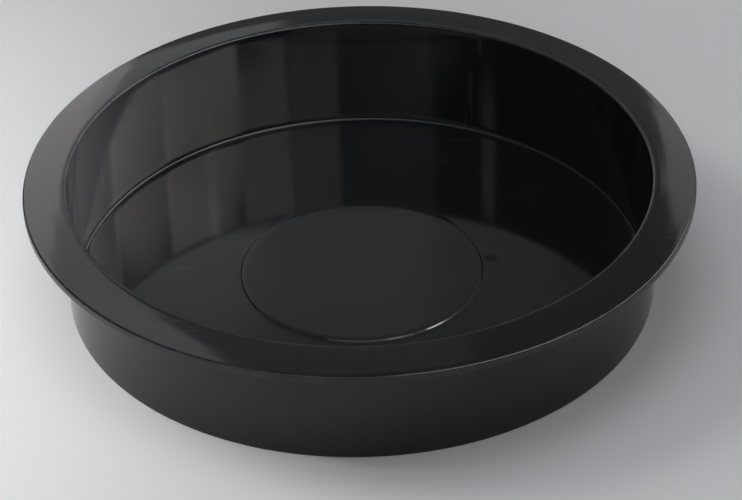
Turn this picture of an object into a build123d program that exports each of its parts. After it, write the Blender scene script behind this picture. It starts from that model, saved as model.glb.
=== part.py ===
from build123d import *
from math import cos, radians, sin, tan
import os

# Round mixing tub: one even-walled moulding, revolved about Z, standing on z = 0.
# Lengths are millimetres and angles are degrees. r is the distance from the Z axis.

# Overall
mouth_diameter = 522.0      # across the inside of the wall, at the full height
height = 115.0              # from the resting face to the highest ring of the rim
flange_width = 39.0         # from the inside of the wall to the outside of the rim

# Shell
wall_thickness = 5.5
floor_thickness = 5.0
draft_angle = 0.5           # the wall narrows downwards, so the tub leaves its mould
corner_radius = 10.0        # inside, where the floor turns up into the wall
foot_chamfer = 1.5          # outside, round the bottom edge

# Flange
flange_thickness = 5.0
mouth_slope = 5.0           # how steeply the flange falls just outside the mouth
lip_slope = 7.5             # how steeply it falls towards its edge
crown_share = 0.8           # how much of the straight flange the blend of the slopes takes up
mouth_radius = 7.0          # rounding between the wall and the flange's top
armpit_chamfer = 2.0        # between the wall and the flange's underside

# Lip along the flange's edge; its lower edges are sharp, because the mould parts there
lip_height = 6.5
lip_width = 6.0
lip_chamfer = 2.0           # between the flange's top and the outside of the lip

# Raised disc in the middle of the floor, hollow underneath by the same amount
disc_diameter = 220.0
disc_rise = 2.5
bevel_width = 3.0

# Gate mark: a shallow dimple in the floor, just outside the disc
mark_diameter = 9.5
mark_depth = 0.6
mark_gap = 5.25             # from the disc's nominal edge to the near side of the mark
mark_angle = 7.0            # anticlockwise from +X

# Worked out from the sizes above
mouth_r = mouth_diameter / 2
rim_r = mouth_r + flange_width
crown_r = mouth_r + flange_width / 2
disc_r = disc_diameter / 2
mark_r = disc_r + mark_gap + mark_diameter / 2


def wall_r(z, outset=0.0):
    """Radius of the drafted wall at height z; outset is measured outwards from its inside."""
    return mouth_r + outset - (height - z) * tan(radians(draft_angle))


def mouth_corner_z():
    """Height of the sharp corner that rounds off to leave the rim's top at the full height."""
    draft = radians(draft_angle)
    turn = radians(mouth_slope - draft_angle)
    cut_from_wall = mouth_radius * (1 + sin(turn)) / cos(turn)
    return height + cut_from_wall * cos(draft) - mouth_radius * (1 - sin(draft))


def flange_top(r):
    """Height of the flange's top at radius r, as two straight slopes that meet at the crown."""
    fall_to_crown = (min(r, crown_r) - mouth_r) * tan(radians(mouth_slope))
    fall_past_crown = max(r - crown_r, 0) * tan(radians(lip_slope))
    return mouth_corner_z() - fall_to_crown - fall_past_crown


def flange_underside(r):
    """Height of the flange's underside at radius r."""
    return flange_top(r) - flange_thickness


def crown_radius():
    """Radius that blends the two slopes of the top, clear of the mouth's rounding and the lip."""
    mouth_reach = mouth_radius / tan(radians(90 - mouth_slope) / 2)
    straight = flange_width / 2 - max(mouth_reach, lip_chamfer)
    return crown_share * straight / tan(radians(lip_slope - mouth_slope) / 2)


def inside_corners():
    """The surface seen from above, as (r, z, radius), from the disc out to the lip."""
    return [
        (disc_r - bevel_width / 2, floor_thickness + disc_rise, 0),
        (disc_r + bevel_width / 2, floor_thickness, 0),
        (wall_r(floor_thickness), floor_thickness, corner_radius),
        (wall_r(mouth_corner_z()), mouth_corner_z(), mouth_radius),
        (crown_r, flange_top(crown_r), crown_radius()),
        (rim_r - lip_chamfer, flange_top(rim_r - lip_chamfer), 0),
        (rim_r, flange_top(rim_r) - lip_chamfer, 0),
    ]


def outside_corners():
    """The surface seen from below, as (r, z, radius), from the lip back in to the disc."""
    lip_bottom = flange_top(rim_r) - lip_height
    lip_inner_r = rim_r - lip_width
    armpit_r = mouth_r + wall_thickness + armpit_chamfer
    armpit_z = flange_underside(armpit_r) - armpit_chamfer
    return [
        (rim_r, lip_bottom, 0),
        (lip_inner_r, lip_bottom, 0),
        (lip_inner_r, flange_underside(lip_inner_r), 0),
        (crown_r, flange_underside(crown_r), 0),
        (armpit_r, flange_underside(armpit_r), 0),
        (wall_r(armpit_z, wall_thickness), armpit_z, 0),
        (wall_r(foot_chamfer, wall_thickness), foot_chamfer, 0),
        (wall_r(0, wall_thickness) - foot_chamfer, 0, 0),
        (disc_r + bevel_width / 2, 0, 0),
        (disc_r - bevel_width / 2, disc_rise, 0),
    ]


def shell():
    """The whole moulding: one closed section, its corners rounded where it says, turned about Z."""
    corners = inside_corners() + outside_corners()
    top_centre = (0, floor_thickness + disc_rise)
    bottom_centre = (0, disc_rise)
    points = [top_centre] + [(r, z) for r, z, radius in corners] + [bottom_centre]
    with BuildPart() as moulding:
        with BuildSketch(Plane.XZ):
            with BuildLine():
                FilletPolyline(*points, radius=[radius for r, z, radius in corners])
                Line(bottom_centre, top_centre)
            make_face()
        revolve(axis=Axis.Z)
    return moulding.part


def gate_mark():
    """A ball that leaves a dimple of the mark's diameter and depth in the floor."""
    ball_radius = (mark_diameter**2 / 4 + mark_depth**2) / (2 * mark_depth)
    turn = radians(mark_angle)
    centre_z = floor_thickness - mark_depth + ball_radius
    return Pos(mark_r * cos(turn), mark_r * sin(turn), centre_z) * Sphere(ball_radius)


tub = shell() - gate_mark()
tub.label = "tub"

os.makedirs("parts", exist_ok=True)
export_step(tub, "parts/tub.step")
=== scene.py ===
import math

import bpy
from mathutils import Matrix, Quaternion, Vector


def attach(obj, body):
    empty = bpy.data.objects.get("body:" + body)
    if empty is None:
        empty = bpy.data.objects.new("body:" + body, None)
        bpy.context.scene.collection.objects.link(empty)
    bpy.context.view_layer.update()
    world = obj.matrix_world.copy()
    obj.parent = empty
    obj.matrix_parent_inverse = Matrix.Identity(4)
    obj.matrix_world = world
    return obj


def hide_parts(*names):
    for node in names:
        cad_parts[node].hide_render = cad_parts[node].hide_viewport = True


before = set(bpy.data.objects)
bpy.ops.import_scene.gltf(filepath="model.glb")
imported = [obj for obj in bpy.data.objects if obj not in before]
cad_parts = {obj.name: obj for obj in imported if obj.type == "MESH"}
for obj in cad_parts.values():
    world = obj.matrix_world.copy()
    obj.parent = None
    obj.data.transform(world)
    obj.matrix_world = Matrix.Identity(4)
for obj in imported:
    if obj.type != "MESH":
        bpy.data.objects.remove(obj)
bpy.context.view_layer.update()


# ---- The tub ------------------------------------------------------------------------------
# The one piece of the object: a round tub with a wide flange, injection moulded in a single
# shot of glossy black plastic. Its wall is drafted, its flange falls away to a turned-down
# lip, and the raised disc in the middle of its floor is hollow underneath.
class Wire:
    """An output of a node, which takes part in sums like a number."""

    def __init__(self, tree, socket=None):
        self.tree, self.socket = tree, socket

    def node(self, kind, settings=None, values=None, output=0):
        """Adds a node: its own settings first, then what its sockets hold or are linked to."""
        made = self.tree.nodes.new(kind)
        for name, value in (settings or {}).items():
            if name == "items":
                for _ in range(value - len(made.index_switch_items)):
                    made.index_switch_items.new()
            else:
                setattr(made, name, value)
        open_inputs = [s for s in made.inputs if s.enabled]
        for name, value in (values or {}).items():
            socket = (
                open_inputs[name]
                if isinstance(name, int)
                else next(s for s in open_inputs if s.name == name)
            )
            if isinstance(value, Wire):
                self.tree.links.new(value.socket, socket)
            else:
                socket.default_value = value
        open_outputs = [s for s in made.outputs if s.enabled]
        return Wire(self.tree, open_outputs[output] if open_outputs else None)

    def sum(self, operation, *values):
        return self.node("ShaderNodeMath", {"operation": operation}, dict(enumerate(values)))

    def __add__(self, other):
        return self.sum("ADD", self, other)

    def __sub__(self, other):
        return self.sum("SUBTRACT", self, other)

    def __rsub__(self, other):
        return self.sum("SUBTRACT", other, self)

    def __mul__(self, other):
        return self.sum("MULTIPLY", self, other)

    def __truediv__(self, other):
        return self.sum("DIVIDE", self, other)

    def __pow__(self, other):
        return self.sum("POWER", self, other)

    __radd__, __rmul__ = __add__, __mul__

    def axes(self):
        """The three numbers of a vector."""
        split = self.node("ShaderNodeSeparateXYZ", None, {"Vector": self}).socket.node
        return [Wire(self.tree, s) for s in split.outputs]

    def clip(self):
        """Keeps the value between 0 and 1."""
        return self.node("ShaderNodeClamp", None, {"Value": self})

    def step(self, start, end):
        """Rises smoothly from 0 where the value is start to 1 where it is end."""
        return self.node(
            "ShaderNodeMapRange",
            {"interpolation_type": "SMOOTHSTEP"},
            {0: self, 1: start, 2: end, 3: 0.0, 4: 1.0},
        )

    def band(self, start, full_from, full_to, end):
        """Is 1 from full_from to full_to and falls smoothly to 0 at start and at end."""
        return self.step(start, full_from) * (1 - self.step(full_to, end))


# lengths in metres, slopes as rise over run
mm = 0.001
tub_sizes = {
    "Mouth Radius": 0.261,
    "Height": 0.115,
    "Flange Width": 0.039,
    "Wall Thickness": 0.0055,
    "Floor Thickness": 0.005,
    "Draft": math.tan(math.radians(0.5)),
    "Flange Thickness": 0.005,
    "Slope at Mouth": math.tan(math.radians(5)),
    "Slope at Lip": math.tan(math.radians(7.5)),
    "Lip Height": 0.0065,
    "Lip Width": 0.006,
    "Disc Radius": 0.110,
    "Disc Rise": 0.0014,
    "Bevel Width": 0.0012,
    "Floor Crown": 0.0016,
    "Crown Radius": 0.160,
    "Crown Rounding": 5.0,
    "Step Rounding": 0.0005,
    "Corner Rounding": 0.003,
    "Mouth Rounding": 0.0025,
    "Edge Rounding": 0.0018,
    "Flange Rounding": 0.35,
    "Flange Under Rounding": 0.3,
    "Lip Rounding": 0.0004,
    "Lip Root Rounding": 0.001,
    "Mark Radius": 0.008,
    "Mark Depth": 0.0002,
    "Mark Distance": 0.120,
    "Mark Turn": math.radians(7),
    "Coarse Cut": 0.006,
    "Fine Cut": 0.001,
    "Turns": 320,
}

section = bpy.data.node_groups.new("tub_moulding", "GeometryNodeTree")
section.interface.new_socket("Geometry", in_out="OUTPUT", socket_type="NodeSocketGeometry")
size_ids = {}
input_kinds = {"Turns": "NodeSocketInt", "Material": "NodeSocketMaterial"}
for name in [*tub_sizes, "Material"]:
    kind = input_kinds.get(name, "NodeSocketFloat")
    socket = section.interface.new_socket(name, in_out="INPUT", socket_type=kind)
    size_ids[name] = socket.identifier
at = Wire(section)
given = at.node("NodeGroupInput").socket.node
size = {s.name: Wire(section, s) for s in given.outputs if s.name}

mouth, full, wide = size["Mouth Radius"], size["Height"], size["Flange Width"]
wall, floor_thick, draft = size["Wall Thickness"], size["Floor Thickness"], size["Draft"]
disc, rise, bevel = size["Disc Radius"], size["Disc Rise"], size["Bevel Width"]
step_round, edge_round = size["Step Rounding"], size["Edge Rounding"]
rim = mouth + wide
bend = mouth + wide * 0.5
# the sharp corner over the mouth stands a little above the full height and is rounded off
sharp_above_round = 0.0895
peak = full + size["Mouth Rounding"] * sharp_above_round
bend_z = peak - wide * 0.5 * size["Slope at Mouth"]
rim_z = bend_z - wide * 0.5 * size["Slope at Lip"]
lip_z = rim_z - size["Lip Height"]
lip_r = rim - size["Lip Width"]
under = size["Flange Thickness"]
floor_r = mouth - (full - floor_thick) * draft
# the floor is moulded slightly crowned, so the tub stands on the outer ring of its foot; the
# crown falls by a quarter out to its own radius and by the rest from there to the wall
middle = size["Floor Crown"]
shoulder = middle * 0.75
# the outline, from the middle of the floor's top over the flange and back under the floor:
# each corner's distance from the axis, height and rounding
corners = [
    (0.0, floor_thick + middle + rise, 0.0),
    (disc - bevel * 0.5, floor_thick + middle + rise, step_round),
    (disc + bevel * 0.5, floor_thick + middle, step_round),
    (size["Crown Radius"], floor_thick + shoulder, size["Crown Rounding"]),
    (floor_r, floor_thick, size["Corner Rounding"]),
    (mouth + (peak - full) * draft, peak, size["Mouth Rounding"]),
    (bend, bend_z, size["Flange Rounding"]),
    (rim, rim_z, edge_round),
    (rim, lip_z, size["Lip Rounding"]),
    (lip_r, lip_z, size["Lip Rounding"]),
    (lip_r, rim_z - under + size["Lip Width"] * size["Slope at Lip"], size["Lip Root Rounding"]),
    (bend, bend_z - under, size["Flange Under Rounding"]),
    (mouth + wall, peak - under - wall * size["Slope at Mouth"], size["Corner Rounding"]),
    (mouth + wall - full * draft, 0.0, edge_round),
    (size["Crown Radius"], shoulder, size["Crown Rounding"]),
    (disc + bevel * 0.5, middle, step_round),
    (disc - bevel * 0.5, middle + rise, step_round),
    (0.0, middle + rise, 0.0),
]

index = at.node("GeometryNodeInputIndex")
places = {"Index": index}
roundings = {"Index": index}
for number, (r, z, rounding) in enumerate(corners):
    places[str(number)] = at.node("ShaderNodeCombineXYZ", None, {"X": r, "Y": 0.0, "Z": z})
    roundings[str(number)] = rounding
corner_place = at.node(
    "GeometryNodeIndexSwitch", {"data_type": "VECTOR", "items": len(corners)}, places
)
corner_rounding = at.node(
    "GeometryNodeIndexSwitch", {"data_type": "FLOAT", "items": len(corners)}, roundings
)
points = at.node("GeometryNodePoints", None, {"Count": len(corners), "Position": corner_place})
outline = at.node("GeometryNodePointsToCurves", None, {"Points": points})
outline = at.node(
    "GeometryNodeFilletCurve",
    {"mode": "POLY"},
    {"Curve": outline, "Count": 8, "Radius": corner_rounding},
)
# long runs are cut, finely in the ring of floor where the gate mark lies, so that the crown
# and the mark are smooth; the two heights part the floor's top from its underside
ring_from, ring_to, ring_fade = 0.1115, 0.1315, 0.0001
under_floor_top, over_floor_top = 0.0045, 0.0055
here = at.node("GeometryNodeInputPosition")
follows = at.node(
    "GeometryNodeFieldAtIndex", {"data_type": "FLOAT_VECTOR"}, {"Value": here, "Index": index + 1}
)
run = at.node("ShaderNodeVectorMath", {"operation": "DISTANCE"}, {0: here, 1: follows})
here_r, _, here_z = here.axes()
by_mark = here_r.band(ring_from, ring_from + ring_fade, ring_to, ring_to + ring_fade)
by_mark = by_mark * here_z.step(under_floor_top, over_floor_top)
cut = size["Coarse Cut"] - (size["Coarse Cut"] - size["Fine Cut"]) * by_mark
outline = at.node("GeometryNodeSubdivideCurve", None, {"Curve": outline, "Cuts": run / cut})

# the outline is carried round the axis: each row of the sheet is one turn of it
turns = size["Turns"]
along_count = at.node(
    "GeometryNodeAttributeDomainSize", {"component": "CURVE"}, {"Geometry": outline}
)
sheet = at.node(
    "GeometryNodeMeshGrid", None, {"Vertices X": turns + 1, "Vertices Y": along_count}
)
around = at.sum("FLOOR", index / along_count)
along = index - around * along_count
on_outline = at.node(
    "GeometryNodeSampleIndex",
    {"data_type": "FLOAT_VECTOR", "domain": "POINT"},
    {"Geometry": outline, "Value": at.node("GeometryNodeInputPosition"), "Index": along},
)
r, _, z = on_outline.axes()
turn = around / turns * (2 * math.pi)
x, y = r * at.sum("COSINE", turn), r * at.sum("SINE", turn)
# the dimple that the gate leaves, next to the disc
mark_x = x - size["Mark Distance"] * at.sum("COSINE", size["Mark Turn"])
mark_y = y - size["Mark Distance"] * at.sum("SINE", size["Mark Turn"])
off = (mark_x * mark_x + mark_y * mark_y) ** 0.5 / size["Mark Radius"]
dent = at.sum("MAXIMUM", 1 - off, 0.0) * z.step(under_floor_top, over_floor_top)
dent = dent * size["Mark Depth"]
place = at.node("ShaderNodeCombineXYZ", None, {"X": x, "Y": y, "Z": z - dent})
sheet = at.node("GeometryNodeSetPosition", None, {"Geometry": sheet, "Position": place})
sheet = at.node("GeometryNodeMergeByDistance", None, {"Geometry": sheet, "Distance": 0.01 * mm})
sheet = at.node("GeometryNodeSetShadeSmooth", None, {"Geometry": sheet})
sheet = at.node("GeometryNodeRealizeInstances", None, {"Geometry": sheet})
sheet = at.node(
    "GeometryNodeSetMaterial", None, {"Geometry": sheet, "Material": size["Material"]}
)
at.node("NodeGroupOutput", None, {"Geometry": sheet})

black_plastic = bpy.data.materials.new("black_moulded_plastic")
black_plastic.use_nodes = True
black_plastic.node_tree.nodes.clear()
paint = Wire(black_plastic.node_tree)
where = paint.node("ShaderNodeTexCoord", None, None, 3)
across, away, up = where.axes()
from_axis = (across * across + away * away) ** 0.5

# where the surface lies on the moulding: floor, underside, walls, worn edges and inner corner
mouth_r, disc_r, top_z = (tub_sizes[name] for name in ("Mouth Radius", "Disc Radius", "Height"))
rim_r = tub_sizes["Mouth Radius"] + tub_sizes["Flange Width"]
top_side = up.step(3.5 * mm, 4.5 * mm)
below = 1 - top_side
on_floor = top_side * (1 - from_axis.step(mouth_r - 5.0 * mm, mouth_r - 3.0 * mm))
on_walls = top_side * from_axis.band(
    mouth_r - 1.8 * mm, mouth_r - 1.0 * mm, mouth_r + 5.2 * mm, mouth_r + 6.2 * mm
)
foot_edge = from_axis.step(mouth_r + 1.0 * mm, mouth_r + 3.0 * mm)
foot_edge = foot_edge * (1 - up.step(0.8 * mm, 3.2 * mm))
lip_edge = from_axis.step(rim_r - 2.8 * mm, rim_r - 0.6 * mm)
mouth_edge = up.step(top_z - 4.0 * mm, top_z - 1.5 * mm) * from_axis.band(
    mouth_r - 0.2 * mm, mouth_r + 0.8 * mm, mouth_r + 2.6 * mm, mouth_r + 4.2 * mm
)
disc_edge = top_side * from_axis.band(
    disc_r - 1.4 * mm, disc_r - 0.4 * mm, disc_r + 0.4 * mm, disc_r + 1.4 * mm
)
corner = top_side * (1 - up.step(7.5 * mm, 10.5 * mm)) * from_axis.band(
    mouth_r - 5.0 * mm, mouth_r - 2.5 * mm, mouth_r + 1.0 * mm, mouth_r + 2.2 * mm
)


def noise(vector, scale, detail, roughness=0.5):
    values = {"Vector": vector, "Scale": scale, "Detail": detail, "Roughness": roughness}
    return paint.node("ShaderNodeTexNoise", None, values)


# black pigment streaks out from the gate, and mottles slightly as the melt cools
cloud = noise(where, 14.0, 4.0, 0.6)
gate_x = tub_sizes["Mark Distance"] * math.cos(tub_sizes["Mark Turn"])
gate_y = tub_sizes["Mark Distance"] * math.sin(tub_sizes["Mark Turn"])
from_gate_x, from_gate_y = across - gate_x, away - gate_y
gate_off = (from_gate_x * from_gate_x + from_gate_y * from_gate_y) ** 0.5
streaks_around, streaks_outwards = 6.0, 3.0
to_centre = gate_off + 2.0 * mm
melt = paint.node(
    "ShaderNodeCombineXYZ",
    None,
    {
        "X": from_gate_x / to_centre * streaks_around,
        "Y": from_gate_y / to_centre * streaks_around,
        "Z": gate_off * streaks_outwards,
    },
)
flow = noise(melt, 2.2, 5.0, 0.65)
# the steel of the mould was turned: its floor leaves fine rings, its core draws lines upwards
ring_spacing, ring_wobble = 1.2 * mm, 5.0
rings = paint.sum("SINE", from_axis * (2 * math.pi / ring_spacing) + cloud * ring_wobble)
rings = rings * on_floor
upright = paint.node("ShaderNodeMapping", None, {"Vector": where, "Scale": (420.0, 420.0, 9.0)})
drawn = noise(upright, 1.0, 3.0)
peel = noise(where, 150.0, 2.0)
grain = noise(where, 1500.0, 1.0)

# stacking and the first trowels leave hairline scuffs; edges lose their shine in patches
scuffs = 0
for degrees, offset in ((24, 0.0), (78, 3.1), (141, 7.7)):
    brushed = paint.node(
        "ShaderNodeMapping",
        None,
        {
            "Vector": where,
            "Location": (offset, offset, offset),
            "Rotation": (0.0, 0.0, math.radians(degrees)),
            "Scale": (5.0, 260.0, 5.0),
        },
    )
    scuffs = noise(brushed, 1.0, 1.0).step(0.69, 0.74) + scuffs
scuffs = scuffs * cloud.step(0.50, 0.62)
patchy = noise(where, 48.0, 6.0, 0.7).step(0.40, 0.62)
worn = (lip_edge + foot_edge + mouth_edge * 0.6 + disc_edge * 0.5) * patchy
gate_skin = top_side * (1 - gate_off.step(2.2 * mm, 8.8 * mm))

# the pigment's colour, and what the streaks, the mottle and the wear turn it to
shade = (0.0050, 0.0056, 0.0072, 1)
for share, tone in (
    (flow.step(0.25, 0.80), (0.0060, 0.0065, 0.0078, 1)),
    (cloud.step(0.35, 0.75) * on_floor * 0.5, (0.0080, 0.0082, 0.0086, 1)),
    ((worn * 0.30 + scuffs * 0.25).clip(), (0.030, 0.031, 0.033, 1)),
):
    shade = paint.node("ShaderNodeMix", {"data_type": "RGBA"}, {0: share, 1: shade, 2: tone})
# the polish of the mould, and what each place and each kind of wear takes from it
polish = 0.060
gloss = (
    polish
    + cloud * 0.03
    + flow * 0.02
    + on_walls * drawn * 0.02
    + corner * 0.20
    + mouth_edge * 0.20
    + gate_skin * 0.16
    + worn * 0.22
    + scuffs * 0.10
    + below * 0.12
)
ring_depth, line_depth, peel_depth = 0.0004 * mm, 0.003 * mm, 0.004 * mm
grain_depth, scuff_depth = 0.0006 * mm, 0.003 * mm
height = (
    rings * ring_depth
    + on_walls * drawn * line_depth
    + peel * peel_depth
    + grain * grain_depth
    - scuffs * scuff_depth
)
bump = paint.node("ShaderNodeBump", None, {"Strength": 1.0, "Distance": 1.0, "Height": height})
skin = paint.node(
    "ShaderNodeBsdfPrincipled",
    None,
    {"Base Color": shade, "Roughness": gloss.clip(), "IOR": 1.5, "Normal": bump},
)
# the gate's scar is torn, not moulded, and has next to no gloss
scar = paint.node(
    "ShaderNodeBsdfPrincipled",
    None,
    {"Base Color": (0.004, 0.004, 0.004, 1), "Roughness": 0.8, "Specular IOR Level": 0.1},
)
skin = paint.node("ShaderNodeMixShader", None, {0: gate_skin * 0.6, 1: skin, 2: scar})
paint.node("ShaderNodeOutputMaterial", None, {"Surface": skin})

tub = bpy.data.objects.new("moulding_tub", bpy.data.meshes.new("moulding_tub"))
bpy.context.scene.collection.objects.link(tub)
shaping = tub.modifiers.new("shape", "NODES")
shaping.node_group = section
for name, value in tub_sizes.items():
    shaping[size_ids[name]] = value
shaping[size_ids["Material"]] = black_plastic
bpy.context.view_layer.update()
shaped = tub.evaluated_get(bpy.context.evaluated_depsgraph_get())
tub_mesh = bpy.data.meshes.new_from_object(shaped)
tub.modifiers.clear()
tub.data = tub_mesh
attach(tub, "root")
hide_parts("tub")


# ---- Floor --------------------------------------------------------------------------------
# A plain pale studio floor for the tub to stand on. It is one flat sheet with a matt face,
# and isn't part of the object.
reach = 15.0
floor_mesh = bpy.data.meshes.new("studio_floor")
floor_mesh.from_pydata(
    [(-reach, -reach, 0), (reach, -reach, 0), (reach, reach, 0), (-reach, reach, 0)],
    [],
    [(0, 1, 2, 3)],
)
studio_floor = bpy.data.objects.new("studio_floor", floor_mesh)
bpy.context.scene.collection.objects.link(studio_floor)
pale = bpy.data.materials.new("pale_floor")
pale.use_nodes = True
matt = pale.node_tree.nodes["Principled BSDF"].inputs
matt["Base Color"].default_value = (0.8, 0.8, 0.8, 1)
matt["Roughness"].default_value = 0.9
matt["Specular IOR Level"].default_value = 0.0
floor_mesh.materials.append(pale)


# ---- Light and camera ---------------------------------------------------------------------
# A dim studio with soft light: a long row of lamps on the right, pale panels standing at the
# back, and the brighter room behind the camera. Most lamps show only in the gloss, and a few
# light only the floor and the plastic's own colour.
world = bpy.data.worlds.new("studio")
world.use_nodes = True
dim = world.node_tree.nodes["Background"].inputs
dim["Color"].default_value = (0.95, 0.98, 1.05, 1)
dim["Strength"].default_value = 0.17
bpy.context.scene.world = world
bpy.context.scene.view_settings.view_transform = "Standard"


def set_up(name, data, place, facing, roll=0.0):
    """Puts a lamp or a camera in its place, facing that way and rolled about its own axis."""
    stand = bpy.data.objects.new(name, data)
    bpy.context.scene.collection.objects.link(stand)
    stand.location = place
    stand.rotation_mode = "QUATERNION"
    stand.rotation_quaternion = Vector(facing).to_track_quat("-Z", "Y") @ Quaternion(
        (0, 0, 1), roll
    )
    return stand


tints = {
    "warm": (1.0, 0.955, 0.93),
    "white": (1.0, 1.0, 1.0),
    "cool": (0.97, 0.99, 1.02),
    "amber": (1.0, 0.90, 0.78),
}
# each lamp: where its middle is, the way it faces or None for facing the tub, its width and
# height, its brightness, its tilt in degrees, whether it shows in the gloss or lights the dull
# surfaces, and its tint
at_tub = Vector((0, 0, 0.08))
turned_left, turned_right = (-0.959, -0.283, 0.0), (0.965, -0.262, 0.0)
forward, down = (0.0, -1.0, 0.0), (0.0, 0.0, -1.0)
lamps = {
    "lamp_right_back": ((3.52, 3.67, 3.25), None, 2.5, 1.3, 3.1, 0, "gloss", "warm"),
    "lamp_right": ((4.95, 1.33, 3.2), None, 3.2, 1.0, 7.4, 0, "gloss", "warm"),
    "lamp_right_front": ((4.70, -1.80, 3.34), None, 3.4, 0.8, 9.9, 4, "gloss", "warm"),
    "lamp_front_right": ((3.12, -3.76, 3.43), None, 1.81, 0.80, 6.5, 5, "gloss", "warm"),
    "lamp_front": ((1.58, -4.71, 3.35), None, 1.88, 0.75, 3.0, 0, "gloss", "warm"),
    "lamp_right_bar": ((4.45, -2.03, 3.90), None, 0.42, 0.95, 4.0, 0, "gloss", "warm"),
    "lamp_high_right": ((2.03, -1.70, 4.24), None, 3.0, 2.6, 2.4, 0, "gloss", "warm"),
    "room_front": ((-0.16, -4.53, 4.02), None, 5.6, 1.8, 0.9, 0, "gloss", "warm"),
    "room_front_low": ((-1.37, -5.12, 2.9), None, 8.9, 1.15, 1.4, 0, "gloss", "warm"),
    "panel_left": ((-1.60, 5.13, 1.92), turned_right, 2.65, 3.84, 0.71, 0, "gloss", "warm"),
    "panel_left_tall": ((-1.65, 4.95, 4.0), turned_right, 2.28, 8.0, 0.72, 0, "gloss", "warm"),
    "panel_middle_low": ((-0.85, 6.2, 3.0), forward, 1.0, 1.8, 0.45, 0, "gloss", "cool"),
    "panel_middle_left": ((-0.9, 6.2, 3.7), forward, 0.9, 2.2, 0.25, 0, "gloss", "cool"),
    "panel_middle": ((-0.55, 6.2, 3.7), forward, 1.6, 2.2, 0.15, 0, "gloss", "cool"),
    "panel_middle_wide": ((-0.35, 6.2, 3.7), forward, 2.2, 2.2, 0.06, 0, "gloss", "cool"),
    "panel_strip": ((-0.45, 6.2, 2.95), forward, 1.6, 0.7, 0.13, 0, "gloss", "cool"),
    "panel_high": ((-1.25, 3.8, 4.9), None, 3.8, 1.7, 0.12, 0, "gloss", "cool"),
    "panel_right": ((1.76, 4.65, 1.855), turned_left, 1.56, 3.71, 0.68, 0, "gloss", "white"),
    "lamp_left_bar": ((-4.17, -2.71, 3.45), None, 0.5, 0.35, 3.0, 0, "gloss", "white"),
    "lamp_left_high": ((-3.5, 0.8, 3.8), None, 2.0, 2.0, 4.9, 0, "dull", "white"),
    "lamp_front_low": ((0.4, -4.6, 2.0), None, 3.0, 1.2, 4.8, 0, "dull", "cool"),
    "lamp_over": ((-0.5, -0.5, 6.0), down, 4.0, 4.0, 1.45, 0, "dull", "cool"),
}
for name, (middle, faces, wide, tall, glow, tilt, sees, tint) in lamps.items():
    lamp = bpy.data.lights.new(name, "AREA")
    lamp.shape = "RECTANGLE"
    lamp.size, lamp.size_y = wide, tall
    lamp.energy = glow * math.pi * wide * tall
    lamp.color = tints[tint]
    facing = faces or at_tub - Vector(middle)
    stand = set_up(name, lamp, middle, facing, math.radians(tilt))
    stand.visible_camera = False
    stand.visible_glossy = sees == "gloss"
    stand.visible_diffuse = sees == "dull"

# two spots, each with its place, target, power, cone in degrees and tint: one brightens the
# floor on the left of the tub, and one grazes the left inner wall and reaches the tub alone
tub_alone = bpy.data.collections.new("tub_alone")
tub_alone.objects.link(tub)
spots = {
    "spot_floor_left": ((-1.9, -0.7, 2.8), (-0.80, -0.10, 0.0), 240.0, 30, "white", None),
    "spot_wall_left": ((3.8, 0.45, 1.3), (-0.27, 0.05, 0.095), 8000.0, 4.4, "amber", tub_alone),
}
for name, (place, target, power, cone, tint, reaches) in spots.items():
    spot = bpy.data.lights.new(name, "SPOT")
    spot.energy, spot.spot_size, spot.spot_blend = power, math.radians(cone), 1.0
    spot.shadow_soft_size = 0.1
    spot.color = tints[tint]
    stand = set_up(name, spot, place, Vector(target) - Vector(place))
    stand.visible_glossy = False
    stand.light_linking.receiver_collection = reaches

eye, target = Vector((0.0, -2.2911, 1.6147)), Vector((0.0088, -0.0303, 0.050))
lens = bpy.data.cameras.new("camera")
lens.lens = 148.89
lens.sensor_width = 36.0
lens.clip_end = 60.0
bpy.context.scene.camera = set_up("camera", lens, eye, target - eye, -0.02455)
